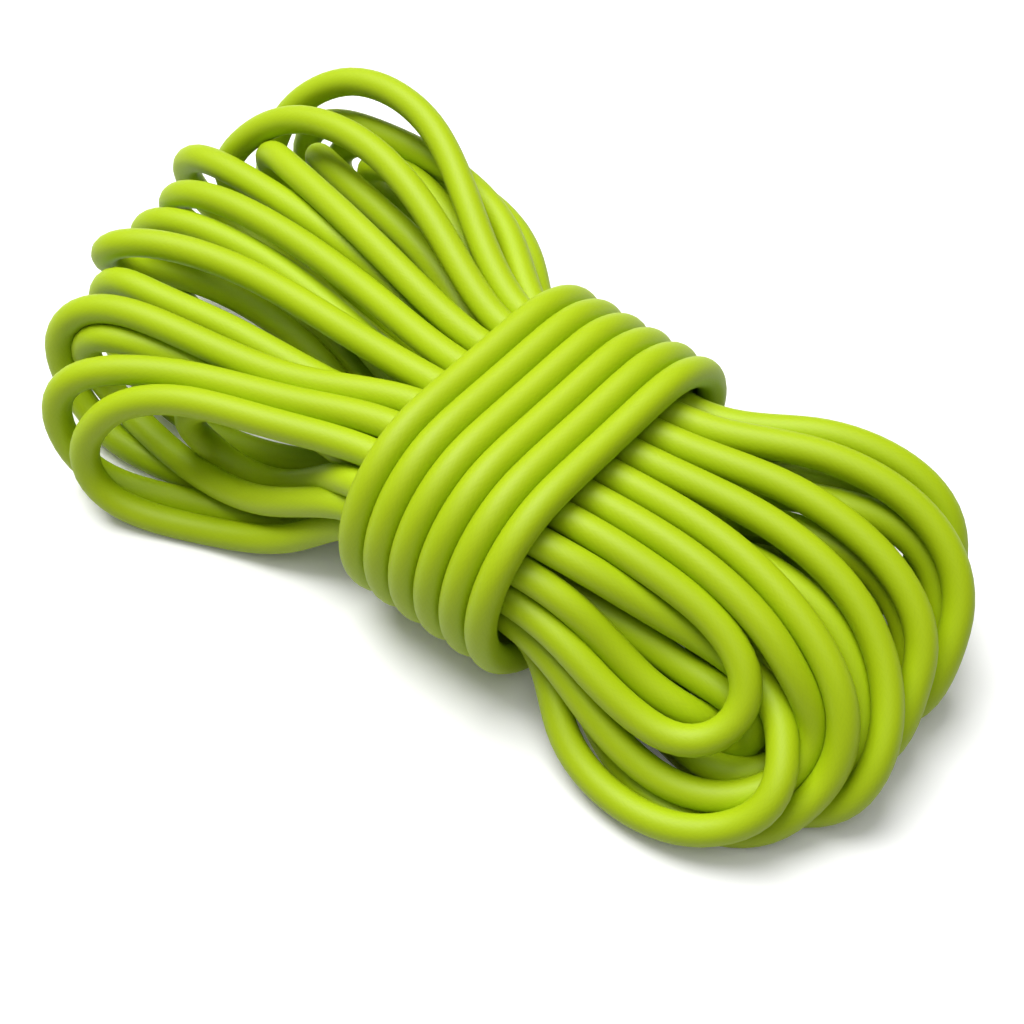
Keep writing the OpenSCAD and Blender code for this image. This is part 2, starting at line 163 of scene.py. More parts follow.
# Outside the waist, one row for each loop: the places that it is drawn to, each as a pixel across
# and down the camera's frame and a height in millimetres. A hidden place draws only weakly.
# Right of the waist from low to high, left of it from high to low.
SEEN, HIDDEN = True, False
RIGHT_PLACES = (
    ((865, 600, 18, HIDDEN), (905, 592, 26, HIDDEN), (922, 555, 37, HIDDEN), (905, 515, 47, HIDDEN),
     (850, 482, 54, HIDDEN), (770, 462, 56, HIDDEN)),
    ((730, 580, 24, HIDDEN), (785, 630, 16, HIDDEN), (845, 672, 13, HIDDEN), (900, 685, 13, HIDDEN),
     (930, 672, 17, SEEN), (940, 640, 25, SEEN), (938, 592, 36, SEEN), (922, 550, 46, SEEN),
     (880, 513, 52, SEEN), (760, 483, 55, HIDDEN)),
    ((705, 635, 23, HIDDEN), (765, 695, 15, HIDDEN), (825, 730, 13, HIDDEN), (875, 725, 14, HIDDEN),
     (901, 698, 21, SEEN), (909, 652, 32, SEEN), (902, 614, 41, SEEN), (872, 570, 50, SEEN),
     (820, 534, 55, SEEN), (740, 514, 57, HIDDEN)),
    ((690, 690, 20, HIDDEN), (745, 755, 14, HIDDEN), (800, 790, 13, HIDDEN), (838, 785, 12, SEEN),
     (856, 755, 20, SEEN), (861, 720, 28, SEEN), (850, 660, 40, SEEN), (812, 603, 50, SEEN),
     (775, 568, 54, SEEN), (700, 545, 56, HIDDEN)),
    ((635, 700, 20, HIDDEN), (675, 742, 14, SEEN), (720, 766, 12, SEEN), (768, 772, 13, HIDDEN),
     (800, 748, 21, HIDDEN), (808, 705, 33, HIDDEN), (788, 655, 45, HIDDEN), (740, 610, 54, HIDDEN),
     (680, 575, 57, HIDDEN)),
    ((620, 645, 24, HIDDEN), (650, 690, 16, HIDDEN), (692, 733, 14, HIDDEN), (735, 754, 13, SEEN),
     (766, 748, 14, SEEN), (768, 728, 18, HIDDEN), (735, 702, 23, HIDDEN), (690, 673, 30, SEEN),
     (645, 640, 37, SEEN), (600, 605, 43, SEEN)),
    ((575, 612, 46, SEEN), (612, 655, 38, SEEN), (655, 690, 31, SEEN), (700, 711, 23, SEEN),
     (738, 728, 17, SEEN), (772, 736, 14, HIDDEN), (785, 718, 16, HIDDEN), (765, 690, 22, HIDDEN),
     (715, 652, 33, HIDDEN), (665, 618, 42, SEEN), (615, 585, 47, SEEN)),
    ((572, 655, 42, SEEN), (600, 681, 37, SEEN), (625, 707, 34, SEEN), (660, 732, 32, SEEN),
     (693, 741, 32, SEEN), (722, 735, 35, SEEN), (740, 712, 40, SEEN), (745, 682, 47, SEEN),
     (730, 642, 54, SEEN), (700, 603, 60, SEEN), (650, 567, 64, SEEN), (600, 545, 67, SEEN)),
    ((530, 688, 13, SEEN), (565, 738, 6, SEEN), (608, 788, 5, SEEN), (650, 819, 6, SEEN),
     (700, 831, 9, SEEN), (740, 820, 12, SEEN), (772, 795, 17, SEEN), (787, 760, 23, SEEN),
     (783, 720, 27, SEEN), (766, 690, 31, SEEN), (740, 668, 36, SEEN), (700, 640, 43, SEEN),
     (650, 608, 50, SEEN), (605, 580, 54, SEEN)),
    ((580, 700, 25, SEEN), (620, 750, 16, SEEN), (660, 780, 12, SEEN), (700, 793, 12, SEEN),
     (740, 790, 13, SEEN), (778, 776, 18, HIDDEN), (803, 750, 28, SEEN), (808, 720, 37, SEEN),
     (800, 690, 46, SEEN), (770, 635, 58, SEEN), (730, 590, 65, SEEN), (680, 553, 67, SEEN)),
    ((566, 692, 9, HIDDEN), (587, 733, 4, HIDDEN), (622, 776, 4, SEEN), (667, 809, 4, SEEN),
     (712, 827, 4, SEEN), (750, 833, 4, SEEN), (790, 815, 10, SEEN), (815, 790, 18, SEEN),
     (832, 755, 29, SEEN), (838, 720, 38, SEEN), (830, 680, 48, SEEN), (800, 620, 60, SEEN),
     (760, 570, 66, SEEN), (700, 525, 68, SEEN)),
    ((640, 700, 6, HIDDEN), (690, 755, 4, HIDDEN), (740, 790, 4, HIDDEN), (795, 808, 4, HIDDEN),
     (838, 800, 9, HIDDEN), (865, 775, 18, SEEN), (880, 750, 25, SEEN), (887, 710, 34, SEEN),
     (880, 660, 44, SEEN), (860, 610, 54, SEEN), (820, 560, 62, SEEN), (760, 515, 67, SEEN),
     (700, 485, 68, SEEN)),
    ((680, 680, 6, HIDDEN), (740, 735, 4, HIDDEN), (800, 765, 4, HIDDEN), (850, 762, 9, HIDDEN),
     (885, 738, 17, HIDDEN), (905, 705, 26, SEEN), (918, 670, 34, SEEN), (922, 640, 42, SEEN),
     (910, 600, 50, SEEN), (885, 565, 56, SEEN), (840, 518, 63, SEEN), (780, 480, 67, SEEN),
     (700, 455, 68, SEEN)),
    ((710, 635, 8, HIDDEN), (770, 680, 4, HIDDEN), (830, 712, 4, HIDDEN), (880, 712, 7, HIDDEN),
     (920, 690, 15, HIDDEN), (940, 662, 24, SEEN), (953, 637, 31, SEEN), (958, 602, 40, SEEN),
     (946, 552, 51, SEEN), (915, 507, 60, SEEN), (860, 470, 66, SEEN), (800, 447, 68, SEEN),
     (750, 433, 68, SEEN)),
    ((770, 620, 5, HIDDEN), (830, 648, 4, HIDDEN), (875, 648, 8, HIDDEN), (912, 628, 17, HIDDEN),
     (938, 595, 28, HIDDEN), (950, 560, 38, SEEN), (950, 528, 46, SEEN), (932, 492, 54, SEEN),
     (900, 464, 60, SEEN), (850, 442, 64, SEEN), (810, 430, 66, SEEN), (760, 417, 66, SEEN)),
    ((700, 522, 9, HIDDEN), (745, 546, 5, SEEN), (800, 572, 5, SEEN), (855, 592, 6, HIDDEN),
     (900, 592, 14, HIDDEN), (925, 560, 26, HIDDEN), (925, 520, 36, HIDDEN), (900, 485, 44, HIDDEN),
     (850, 455, 50, HIDDEN), (790, 437, 52, HIDDEN)),
    ((735, 512, 9, HIDDEN), (785, 538, 5, HIDDEN), (838, 562, 5, HIDDEN), (878, 562, 12, HIDDEN),
     (893, 538, 23, HIDDEN), (880, 508, 32, HIDDEN), (845, 482, 38, HIDDEN), (790, 462, 40, HIDDEN)),
)
LEFT_PLACES = (
    ((505, 302, 56, HIDDEN), (476, 260, 57, SEEN), (445, 215, 57, SEEN), (412, 178, 55, SEEN),
     (382, 153, 49, HIDDEN), (368, 151, 41, HIDDEN), (376, 172, 31, HIDDEN), (404, 206, 20, HIDDEN),
     (443, 260, 14, HIDDEN), (480, 330, 18, HIDDEN)),
    ((470, 300, 57, SEEN), (420, 250, 58, SEEN), (380, 215, 58, SEEN), (340, 175, 57, SEEN),
     (318, 155, 51, SEEN), (319, 166, 41, HIDDEN), (338, 187, 31, HIDDEN), (366, 217, 21, HIDDEN),
     (396, 257, 15, HIDDEN), (426, 305, 15, HIDDEN), (452, 355, 20, HIDDEN)),
    ((430, 320, 58, SEEN), (400, 290, 60, SEEN), (330, 235, 61, SEEN), (280, 200, 61, SEEN),
     (230, 170, 60, SEEN), (200, 158, 56, SEEN), (184, 162, 48, SEEN), (187, 175, 38, HIDDEN),
     (204, 192, 29, HIDDEN), (237, 217, 20, HIDDEN), (282, 252, 15, HIDDEN), (342, 307, 14, HIDDEN),
     (402, 370, 18, HIDDEN)),
    ((380, 350, 55, HIDDEN), (320, 300, 54, SEEN), (290, 275, 54, SEEN), (250, 250, 54, SEEN),
     (200, 230, 53, SEEN), (165, 220, 50, SEEN), (147, 225, 44, SEEN), (145, 236, 36, HIDDEN),
     (158, 254, 28, HIDDEN), (180, 285, 20, HIDDEN), (212, 326, 15, HIDDEN), (258, 370, 13, HIDDEN),
     (310, 410, 16, HIDDEN), (365, 440, 22, HIDDEN)),
    ((345, 397, 54, SEEN), (290, 362, 53, SEEN), (240, 330, 53, SEEN), (178, 308, 52, SEEN),
     (131, 289, 50, SEEN), (108, 280, 45, SEEN), (98, 289, 38, SEEN), (105, 308, 30, HIDDEN),
     (125, 340, 22, HIDDEN), (155, 380, 16, HIDDEN), (195, 420, 13, HIDDEN), (240, 448, 13, SEEN),
     (290, 466, 15, SEEN), (345, 473, 20, HIDDEN)),
    ((255, 428, 53, HIDDEN), (225, 410, 50, HIDDEN), (200, 404, 44, HIDDEN), (186, 414, 36, SEEN),
     (190, 434, 27, SEEN), (206, 453, 20, SEEN), (234, 468, 17, SEEN), (280, 482, 20, SEEN),
     (330, 493, 31, SEEN)),
    ((340, 430, 52, HIDDEN), (280, 402, 51, HIDDEN), (180, 357, 50, SEEN), (130, 341, 49, SEEN),
     (94, 337, 45, SEEN), (73, 347, 38, SEEN), (80, 359, 30, SEEN), (102, 368, 23, SEEN),
     (118, 397, 17, SEEN), (138, 426, 12, SEEN), (164, 448, 9, SEEN), (200, 461, 8, HIDDEN),
     (245, 474, 9, HIDDEN), (300, 492, 18, HIDDEN)),
    ((380, 437, 65, SEEN), (320, 412, 63, SEEN), (270, 395, 62, SEEN), (220, 382, 61, SEEN),
     (160, 372, 60, SEEN), (110, 370, 57, SEEN), (75, 378, 51, SEEN), (58, 400, 41, SEEN),
     (60, 425, 29, SEEN), (75, 450, 18, SEEN), (97, 472, 10, HIDDEN), (125, 488, 5, SEEN),
     (160, 497, 4, SEEN), (200, 503, 4, SEEN), (250, 512, 4, SEEN), (310, 526, 8, SEEN)),
    ((350, 453, 64, SEEN), (300, 432, 62, SEEN), (250, 413, 61, SEEN), (200, 401, 60, SEEN),
     (150, 400, 57, SEEN), (115, 410, 50, SEEN), (92, 432, 38, SEEN), (85, 460, 25, SEEN),
     (95, 482, 14, SEEN), (125, 505, 7, SEEN), (165, 521, 4, SEEN), (205, 528, 4, SEEN),
     (260, 536, 6, SEEN), (325, 543, 12, SEEN)),
    ((350, 402, 64, SEEN), (280, 378, 63, SEEN), (220, 350, 62, SEEN), (160, 322, 61, SEEN),
     (118, 311, 58, SEEN), (86, 313, 53, SEEN), (67, 326, 46, SEEN), (62, 341, 40, SEEN),
     (70, 358, 32, SEEN), (88, 390, 21, HIDDEN), (108, 418, 12, HIDDEN), (133, 446, 6, SEEN),
     (166, 467, 4, SEEN), (202, 482, 4, SEEN), (250, 498, 4, SEEN), (310, 516, 6, SEEN)),
    ((430, 390, 67, SEEN), (360, 340, 66, SEEN), (300, 300, 65, SEEN), (240, 270, 64, SEEN),
     (190, 250, 63, SEEN), (145, 243, 60, SEEN), (113, 245, 54, SEEN), (101, 257, 46, SEEN),
     (112, 268, 36, HIDDEN), (148, 268, 27, SEEN), (195, 280, 20, SEEN), (250, 307, 14, SEEN),
     (310, 346, 9, SEEN), (355, 392, 6, HIDDEN), (390, 440, 6, HIDDEN)),
    ((455, 360, 67, SEEN), (380, 300, 66, SEEN), (320, 257, 65, SEEN), (260, 220, 64, SEEN),
     (215, 197, 62, SEEN), (186, 193, 57, SEEN), (174, 201, 49, SEEN), (180, 213, 38, HIDDEN),
     (195, 227, 27, HIDDEN), (225, 246, 17, HIDDEN), (265, 273, 9, HIDDEN), (315, 315, 4, HIDDEN),
     (370, 370, 4, HIDDEN), (405, 425, 6, HIDDEN)),
    ((450, 315, 68, SEEN), (400, 270, 69, SEEN), (350, 225, 70, SEEN), (300, 180, 69, SEEN),
     (275, 152, 64, SEEN), (268, 159, 53, SEEN), (280, 176, 41, HIDDEN), (300, 199, 29, HIDDEN),
     (330, 233, 17, HIDDEN), (365, 276, 8, HIDDEN), (400, 325, 4, HIDDEN), (430, 385, 5, HIDDEN)),
    ((480, 285, 72, SEEN), (450, 250, 76, SEEN), (420, 205, 79, SEEN), (390, 165, 80, SEEN),
     (350, 130, 80, SEEN), (310, 118, 76, SEEN), (280, 122, 69, SEEN), (250, 140, 59, SEEN),
     (228, 163, 47, SEEN), (222, 184, 36, HIDDEN), (235, 204, 25, HIDDEN), (262, 232, 14, HIDDEN),
     (305, 276, 6, HIDDEN), (355, 325, 4, HIDDEN), (410, 385, 6, HIDDEN)),
    ((508, 285, 68, SEEN), (485, 250, 72, SEEN), (463, 203, 75, SEEN), (452, 165, 77, SEEN),
     (432, 122, 78, SEEN), (398, 90, 78, SEEN), (362, 78, 76, SEEN), (328, 83, 72, SEEN),
     (303, 102, 64, SEEN), (298, 128, 52, HIDDEN), (290, 152, 38, HIDDEN), (275, 182, 24, HIDDEN),
     (265, 220, 10, HIDDEN), (290, 260, 4, HIDDEN), (380, 320, 6, HIDDEN)),
    ((535, 275, 58, SEEN), (510, 235, 60, SEEN), (484, 198, 61, SEEN), (452, 172, 61, HIDDEN),
     (414, 152, 60, SEEN), (378, 134, 58, SEEN), (344, 122, 54, SEEN), (314, 126, 47, HIDDEN),
     (302, 146, 36, HIDDEN), (312, 169, 25, HIDDEN), (338, 201, 14, HIDDEN), (378, 246, 6, HIDDEN),
     (425, 300, 4, HIDDEN), (475, 360, 6, HIDDEN)),
    ((545, 278, 48, SEEN), (520, 240, 50, SEEN), (495, 208, 50, SEEN), (462, 190, 50, HIDDEN),
     (430, 175, 48, SEEN), (400, 160, 46, SEEN), (365, 150, 41, HIDDEN), (337, 153, 34, HIDDEN),
     (325, 168, 25, HIDDEN), (332, 187, 15, HIDDEN)),
)

# the two ends, and the ways to and from them
SLEEVE_GAP = 0.05
SLEEVE_WALL = 0.5
SLEEVE_RADIUS = ROPE_RADIUS + SLEEVE_GAP + SLEEVE_WALL
END_Z = SLEEVE_RADIUS
END_APART = 1.1
END_STEP = 7
INNER_END_X, INNER_END_Y = 88, 84
OUTER_END_X, OUTER_END_Y = 86, INNER_END_Y + 2 * SLEEVE_RADIUS + END_APART
START_POINTS = (
    (INNER_END_X, INNER_END_Y, END_Z),
    (INNER_END_X - END_STEP, INNER_END_Y, END_Z),
    (INNER_END_X - 2 * END_STEP, INNER_END_Y, END_Z),
    (66, 81, 9),
    (56, 73, 17),
    (53, 61, 25),
    (62, 48, 29),
    (80, 40, 22),
)
LEAD_POINTS = (
    (-124, 97, FLOOR_Z),
    (-113.5, 93.5, FLOOR_Z),
    (-103, 90, FLOOR_Z),
    (-92.5, 86.5, FLOOR_Z),
    (-82, 83, FLOOR_Z),
    (-68, 77, 8),
    (-53, 70, 17),
    (-37, 67, 28),
)
TAIL_POINTS = (
    (WRAP_LAST_X, 44, FLOOR_Z),
    (WRAP_LAST_X + 1, 56, FLOOR_Z),
    (WRAP_LAST_X + 3, 70, FLOOR_Z + 1),
    (WRAP_LAST_X + 8, 83, END_Z),
    (WRAP_LAST_X + 19, OUTER_END_Y - 4, END_Z),
    ((WRAP_LAST_X + OUTER_END_X) / 2 + 4, OUTER_END_Y - 0.5, END_Z),
    (OUTER_END_X - 2 * END_STEP, OUTER_END_Y, END_Z),
    (OUTER_END_X - END_STEP, OUTER_END_Y, END_Z),
    (OUTER_END_X, OUTER_END_Y, END_Z),
)

# how far the part's origin is from the point that these numbers are measured from
end_low, end_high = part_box("inner_end_sheath")
ORIGIN_SHIFT = np.array([
    end_low[0] / MM - INNER_END_X,
    (end_low[1] + end_high[1]) / 2 / MM - INNER_END_Y,
    0,
])
EYE = np.array(CAMERA_PLACE) / MM - ORIGIN_SHIFT


def point(*numbers):
    return np.array(numbers, float)


def lengths_of(vectors):
    return np.linalg.norm(vectors, axis=-1)


def units_of(vectors):
    return vectors / lengths_of(vectors)[..., None]


def share_of_waist(x):
    return (x + EDGE_LEFT) / (EDGE_LEFT + EDGE_RIGHT)


def ring_slot(place, x):
    """Where a strand goes through the waist on the closed row under the turns."""
    turned = RING_TURN_LEFT + (RING_TURN_RIGHT - RING_TURN_LEFT) * share_of_waist(x)
    along = (place - RING_TOP_PLACE + turned) * STRAND_PITCH
    near = along - WAIST_ROUND * math.floor(along / WAIST_ROUND + 0.5)
    side = -1 if near < 0 else 1
    from_top = abs(near)
    arc = math.pi * RING_RADIUS
    if from_top < WAIST_FLAT:
        return point(x, side * from_top, WAIST_Z + RING_RADIUS)
    if from_top < WAIST_FLAT + arc:
        angle = (from_top - WAIST_FLAT) / RING_RADIUS
        return point(
            x, side * (WAIST_FLAT + RING_RADIUS * math.sin(angle)),
            WAIST_Z + RING_RADIUS * math.cos(angle),
        )
    return point(x, side * (2 * WAIST_FLAT + arc - from_top), WAIST_Z - RING_RADIUS)


def inner_slot(place, level, x):
    """Where a strand goes through the waist in one of the two inner rows."""
    share = share_of_waist(x)
    stagger = INNER_STAGGER if place % 2 == 1 else -INNER_STAGGER
    y = (place - (INNER_COUNT - 1) / 2) * (INNER_PITCH - INNER_PITCH_CHANGE * share)
    return point(
        x, y + INNER_SHIFT * share,
        WAIST_Z + (INNER_RISE + stagger if level > 0 else -INNER_RISE),
    )


def tilted(p):
    """Moves a point of the waist to where the leaning waist has it."""
    return p + point(WAIST_SHIFT + WAIST_TILT * p[1], 0, 0)


def slots(strand, level):
    row, place = strand
    if row == INNER_ROW:
        return [tilted(inner_slot(place, level, x)) for x in WAIST_X]
    return [tilted(ring_slot(place, x)) for x in WAIST_X]


def through_slots(control, where, through):
    """Sets the three control points of a strand in the waist, so that the curve runs through its slots."""
    before, after = control[where - 1], control[where + 3]
    first = (2 * through[0] - before - through[1]) / 4
    last = (2 * through[2] - after - through[1]) / 4
    control[where] = through[0] + first * (0, 1, 1)
    control[where + 1] = through[1]
    control[where + 2] = through[2] + last * (0, 1, 1)


def laid_at(across, down, height):
    """The place at a height that lies behind a pixel of the camera's frame."""
    right = np.array((math.cos(AROUND), math.sin(AROUND), 0))
    back = np.array(TO_CAMERA)
    up = np.cross(back, right)
    middle = FRAME_WIDE / 2
    ray = right * (across - middle) - up * (down - middle) - back * FOCAL_WIDE
    return EYE + ray * (height - EYE[2]) / ray[2]


# a leg's control points, and how much closer and over what stretch they lie round its bend
LEG_POINTS = 10
BEND_CROWDING, BEND_STRETCH = 2, 38
FINE_STEPS = 400


def spread(places, count, start, end):
    """Control points spread along the line through the places, closer together round its bend."""
    line = np.vstack([start, places, end])
    along = np.concatenate([[0], np.cumsum(lengths_of(np.diff(line, axis=0)))])
    bend = along[1:-1][np.argmax(np.abs(places[:, 0]))]
    steps = np.linspace(0, along[-1], FINE_STEPS)
    crowd = 1 + BEND_CROWDING * np.exp(-((steps - bend) / BEND_STRETCH) ** 2)
    share = np.concatenate([[0], np.cumsum((crowd[1:] + crowd[:-1]) / 2)])
    at = np.interp(np.linspace(0, share[-1], count + 2)[1:-1], share, steps)
    return np.stack([np.interp(at, along, line[:, k]) for k in range(3)], axis=1)


class RoughRope:
    """The rope's control points as first laid, what holds them, and where they are drawn to."""

    def __init__(self):
        self.control, self.free = [], []
        self.strands, self.legs = [], []
        self.add(START_POINTS, False)
        for i in range(LOOP_COUNT):
            high = slots(UPPER_STRANDS[i], 1)
            self.add_leg(RIGHT_PLACES[i], high[2])
            self.add_strand(high[::-1])
            if i < LOOP_COUNT - 1:
                low = slots(LOWER_STRANDS[i], -1)
                self.add_leg(LEFT_PLACES[i], low[0])
                self.add_strand(low)
            else:
                self.add_leg(LEFT_PLACES[i], LEAD_POINTS[0])
        self.add(LEAD_POINTS, False)
        self.add([wrap_point(k) for k in range(WRAP_TURNS * TURN_STEPS - TAIL_TAKES_OVER)], False)
        self.add(TAIL_POINTS, False)

    def add(self, points, free):
        self.control += [point(*p) for p in points]
        self.free += [free] * len(points)

    def add_strand(self, through):
        self.strands.append((len(self.control), through))
        self.add(through, False)

    def add_leg(self, row, end):
        places = np.array([laid_at(*place[:3]) for place in row])
        seen = np.array([place[3] for place in row])
        first = len(self.control)
        self.add(spread(places, LEG_POINTS, self.control[-1], point(*end)), True)
        self.legs.append((first, len(self.control), places, seen))


def wrap_point(k):
    """The turns' control point number k."""
    y, angle, radius = TURN_PLACES[k % TURN_STEPS]
    angle = math.radians(angle)
    return tilted(point(
        WRAP_FIRST_X + TURN_PITCH * k / TURN_STEPS,
        y + radius * math.cos(angle), WAIST_Z + radius * math.sin(angle),
    ))


def spline_weights(steps):
    """How much each of four control points weighs at each step of the way between the middle two."""
    share = np.arange(steps) / steps
    return np.stack([
        (1 - share) ** 3, 3 * share ** 3 - 6 * share ** 2 + 4,
        -3 * share ** 3 + 3 * share ** 2 + 3 * share + 1, share ** 3,
    ]) / 6


SAMPLES = 6
WEIGHTS = spline_weights(SAMPLES)


def curve_points(control, weights=WEIGHTS):
    """Points on the uniform cubic spline that the control points give, without its last one."""
    c = np.concatenate([[2 * control[0] - control[1]], control, [2 * control[-1] - control[-2]]])
    fours = np.stack([c[j:len(c) - 3 + j] for j in range(4)])
    return np.einsum("jk,jnd->nkd", weights, fours).reshape(-1, 3)


def control_moves(pushes, count):
    """What pushes on the curve's points come to for its control points."""
    pushes = pushes.reshape(-1, SAMPLES, 3)
    moves = np.zeros((count + 2, 3))
    for j in range(4):
        moves[j:j + len(pushes)] += np.einsum("k,nkd->nd", WEIGHTS[j], pushes)
    return moves[1:-1] / SAMPLES


def summed(size, where, what):
    """Adds vectors up at the numbers that they belong to."""
    return np.stack([np.bincount(where, what[:, k], size) for k in range(3)], axis=1)


# strands push each other apart where their middles are nearer than APART; pairs of points within
# REACH are watched, unless they are fewer than OWN_STRETCH points from one another along the rope
APART, REACH = 10.5, 15
OWN_STRETCH = 19
PUSH_EACH = 0.45
LEAST_WIDE = 0.1

# how strongly a place draws, and what its pull comes to for the points on either side of the nearest
SEEN_PULL, WEAK_PULL = 1.3, 0.12
PULL_SPREAD = ((-2, 0.5), (-1, 0.8), (0, 1.0), (1, 0.8), (2, 0.5))

# bends with a smaller radius than TIGHTEST are opened
TIGHTEST = 18
EVEN_OUT, EASE_KINKS, OPEN_BENDS = 0.3, 0.3, 0.25
LEAST_DIVISOR = 1e-6

ROUNDS = 300
LOOK_AGAIN = 10
FLOOR_PUSH = 1.5
MOVE_SHARE = 0.55
# for each stage: up to what share of the rounds it lasts, and how strong the pull to the places, the
# easing of kinks and the pushing apart are
STAGES = (
    (0.5, 1, 0.8, 2.2),
    (0.7, 0.5, 0.4, 2.2),
    (1.0, 0.12, 0.1, 3.5),
)


def near_pairs(points):
    """Pairs of points on the curve that lie near each other, but not along it."""
    p = points.astype(np.float32)
    square = (p * p).sum(1)
    near = square[:, None] + square[None] - 2 * p @ p.T < REACH ** 2
    first, second = np.nonzero(np.triu(near, OWN_STRETCH))
    return first, second


def nearest_points(points, legs):
    """For each place, the number of the nearest point on its own leg."""
    found = []
    for first, last, places, _ in legs:
        start = (first - 2) * SAMPLES
        near = points[start:(last + 1) * SAMPLES]
        gaps = lengths_of(places[:, None] - near[None])
        found.append(start + gaps.argmin(axis=1))
    return np.concatenate(found)


def pulls(points, nearest, places, seen, strength):
    """Draws the curve to its places: across the view where they are seen, weakly elsewhere."""
    ways = units_of(places - EYE)
    gaps = places - points[nearest]
    deep = (gaps * ways).sum(1)[:, None] * ways
    across = SEEN_PULL * (gaps - deep) + WEAK_PULL * deep
    pull = np.where(seen[:, None], across, WEAK_PULL * gaps) * strength
    return sum(summed(len(points), nearest + step, pull * share) for step, share in PULL_SPREAD)


def pushes_apart(points, pairs, strength):
    """Pushes strands apart where they are nearer than they may come."""
    first, second = pairs
    gaps = points[second] - points[first]
    wide = np.maximum(lengths_of(gaps), LEAST_WIDE)
    close = wide < APART
    first, second, gaps, wide = first[close], second[close], gaps[close], wide[close]
    push = gaps * ((APART - wide) / wide * PUSH_EACH)[:, None]
    total = summed(len(points), second, push) - summed(len(points), first, push)
    count = np.bincount(np.concatenate([first, second]), minlength=len(points))
    return strength * total / np.maximum(count, 1)[:, None]


def straightened(control, spacing, easing):
    """Evens out the control points along the rope, eases kinks and opens bends that are too tight."""
    here, before, after = control[1:-1], control[:-2], control[2:]
    ways = units_of(after - before)
    even = after * spacing + before * (1 - spacing) - here
    kink = np.zeros_like(control)
    kink[2:-2] = (
        -control[:-4] + 4 * control[1:-3] - 6 * control[2:-2] + 4 * control[3:-1] - control[4:]
    ) / 16
    kink = kink[1:-1]
    moves = np.zeros_like(control)
    moves[1:-1] = EVEN_OUT * (even * ways).sum(1)[:, None] * ways
    moves[1:-1] += EASE_KINKS * easing * (kink - (kink * ways).sum(1)[:, None] * ways)
    turn = after - 2 * here + before
    run = (after - before) / 2
    radius = lengths_of(run) ** 3 / np.maximum(lengths_of(np.cross(run, turn)), LEAST_DIVISOR)
    opened = np.clip((TIGHTEST - radius) / TIGHTEST, 0, 1)[:, None] * turn * OPEN_BENDS
    moves[1:-1] += opened
    moves[2:] -= opened / 2
    moves[:-2] -= opened / 2
    return moves


def settled(rope):
    """Settles all loops together, round by round."""
    control, free = np.array(rope.control), np.array(rope.free)
    places = np.concatenate([leg[2] for leg in rope.legs])
    seen = np.concatenate([leg[3] for leg in rope.legs])
    for where, through in rope.strands:
        through_slots(control, where, through)
    lengths = lengths_of(np.diff(control, axis=0))
    spacing = (lengths[:-1] / (lengths[:-1] + lengths[1:]))[:, None]
    for turn in range(ROUNDS):
        pull, easing, apart = next(stage[1:] for stage in STAGES if turn / ROUNDS < stage[0])
        points = curve_points(control)
        if turn % LOOK_AGAIN == 0:
            pairs = near_pairs(points)
            nearest = nearest_points(points, rope.legs)
        push = pushes_apart(points, pairs, apart)
        push += pulls(points, nearest, places, seen, pull)
        push[:, 2] += np.maximum(FLOOR_Z - points[:, 2], 0) * FLOOR_PUSH
        control[free] += MOVE_SHARE * control_moves(push, len(control))[free]
        control[free] += straightened(control, spacing, easing)[free]
        control[free, 2] = np.maximum(control[free, 2], FLOOR_Z)
        for where, through in rope.strands:
            through_slots(control, where, through)
    return control


def evenly(points, step):
    """The same line with points a fixed step apart, and how far along it each is."""
    along = np.concatenate([[0], np.cumsum(lengths_of(np.diff(points, axis=0)))])
    places = np.linspace(0, along[-1], int(round(along[-1] / step)) + 1)
    return np.stack([np.interp(places, along, points[:, k]) for k in range(3)], axis=1), places


ROUTE_SAMPLES = 24
ROUTE_STEP = 4.0


def rope_route():
    """The rope's middle line and the distances along it, in metres and from the part's origin."""
    control = settled(RoughRope())
    line = np.concatenate([curve_points(control, spline_weights(ROUTE_SAMPLES)), control[-1:]])
    points, along = evenly(line, ROUTE_STEP)
    return (points + ORIGIN_SHIFT) * MM, along * MM


ROUTE, ROUTE_ALONG = rope_route()


# ---- the rope ----

# a little thicker than the rope is, so that strands that lie together let no light through
SHOWN_RADIUS = 5.3 * MM
ROPE_SIDES = 20


def carried_frames(points):
    """Two directions across the line at each point, carried along it without twist."""
    ways = units_of(np.gradient(points, axis=0))
    across = np.empty_like(ways)
    side = np.cross(ways[0], (0, 0, 1))
    for i, way in enumerate(ways):
        side = units_of(side - way * (side @ way))
        across[i] = side
    return across, np.cross(ways, across)


